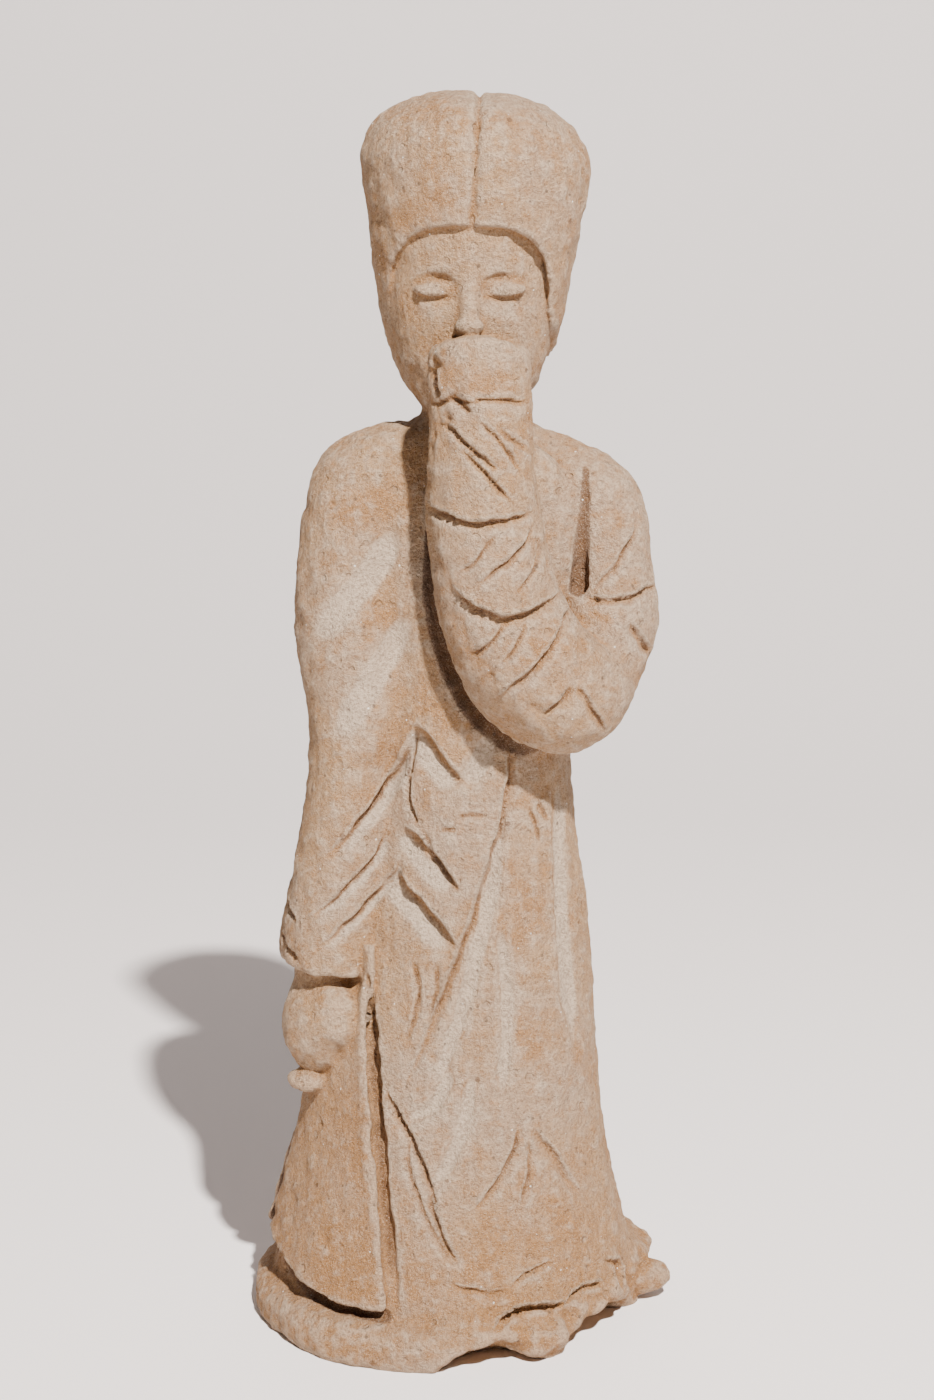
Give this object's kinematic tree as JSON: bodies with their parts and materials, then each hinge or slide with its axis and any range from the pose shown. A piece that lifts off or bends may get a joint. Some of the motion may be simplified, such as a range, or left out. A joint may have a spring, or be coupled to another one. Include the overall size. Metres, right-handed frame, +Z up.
{
  "type": "clay tomb figurine",
  "caption": "Standing clay tomb figurine in a tall cap and long robe, one sleeve raised to the mouth, the other hanging over a closed hand.",
  "frame": {"origin": "middle of the footprint's bounding box, on the underside", "axes": "+Z up the figure, -Y the way it faces, +X to the viewer's right"},
  "size_m": [0.0988, 0.086, 0.2799],
  "materials": {
    "fired_clay": "dry unglazed buff clay with fine grit, brown in the cuts and rubbed pale on the high places"
  },
  "bodies": {
    "root": {"figurine": "fired_clay"}
  },
  "joints": []
}
